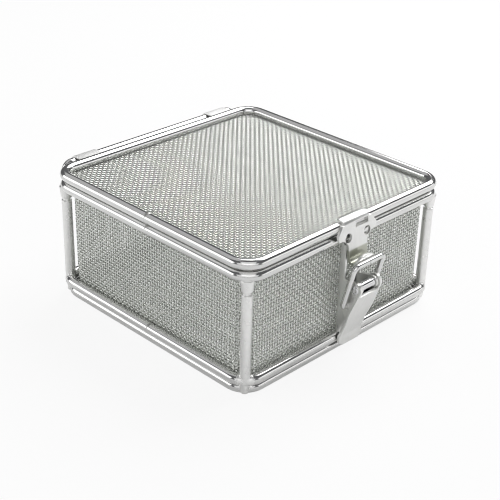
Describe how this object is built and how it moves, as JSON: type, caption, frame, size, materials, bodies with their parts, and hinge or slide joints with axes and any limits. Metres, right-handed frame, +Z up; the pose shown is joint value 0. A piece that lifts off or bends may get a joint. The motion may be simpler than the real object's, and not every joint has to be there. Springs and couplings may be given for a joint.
{
  "type": "sterilization basket",
  "caption": "Square wire-mesh sterilization basket on a round-rod frame, with a hinged mesh lid and a lever draw latch.",
  "frame": {"origin": "on the table, below the middle of the whole basket with its latch and hinge", "axes": "+Z up, the latch on the -Y side, the hinge on the +Y side, +X to the right as seen from the latch"},
  "size_m": [0.08, 0.0906, 0.0408],
  "materials": {
    "rod_steel": "polished round stainless rod",
    "post_steel": "satin stainless rod, ground after welding",
    "weld_steel": "cleaned weld metal",
    "mesh_steel": "plain-weave stainless wire cloth",
    "latch_steel": "satin pressed stainless sheet",
    "strap_steel": "satin stainless strip",
    "wire_steel": "bright stainless spring wire",
    "pin_steel": "mirror-bright turned steel"
  },
  "bodies": {
    "basket": {"rim_ring": "rod_steel", "bottom_ring": "rod_steel", "stacking_ring": "rod_steel", "hinge_bar": "rod_steel", "corner_post_front_left": "post_steel", "corner_post_front_right": "post_steel", "corner_post_back_left": "post_steel", "corner_post_back_right": "post_steel", "foot_stubs": "weld_steel", "floor_mesh": "mesh_steel", "mesh_wall_front": "mesh_steel", "mesh_wall_back": "mesh_steel", "mesh_wall_left": "mesh_steel", "mesh_wall_right": "mesh_steel", "mesh_corner_front_left": "mesh_steel", "mesh_corner_front_right": "mesh_steel", "mesh_corner_back_left": "mesh_steel", "mesh_corner_back_right": "mesh_steel", "latch_base": "latch_steel", "latch_pin": "pin_steel", "latch_sleeve": "pin_steel"},
    "lid": {"lid_ring": "rod_steel", "lid_mesh": "mesh_steel", "hinge_strap_left": "strap_steel", "hinge_strap_right": "strap_steel", "keeper": "latch_steel"},
    "lever": {"lever": "latch_steel"},
    "bail": {"bail": "wire_steel"}
  },
  "joints": [
    {"name": "lid_hinge", "type": "hinge", "parent": "basket", "child": "lid", "pos_m": [0, 0.04346, 0.03814], "axis": [-1, 0, 0], "range_deg": [0, 180]},
    {"name": "lever_pivot", "type": "hinge", "parent": "basket", "child": "lever", "pos_m": [0, -0.04322, 0.0221], "axis": [-1, 0, 0], "range_deg": [0, 100]},
    {"name": "bail_pivot", "type": "hinge", "parent": "lever", "child": "bail", "pos_m": [0, -0.04052, 0.016], "axis": [1, 0, 0], "range_deg": [0, 120]}
  ],
  "couplings": [
    {"joint": "bail_pivot", "follows": "lever_pivot", "ratio": 1.15}
  ]
}
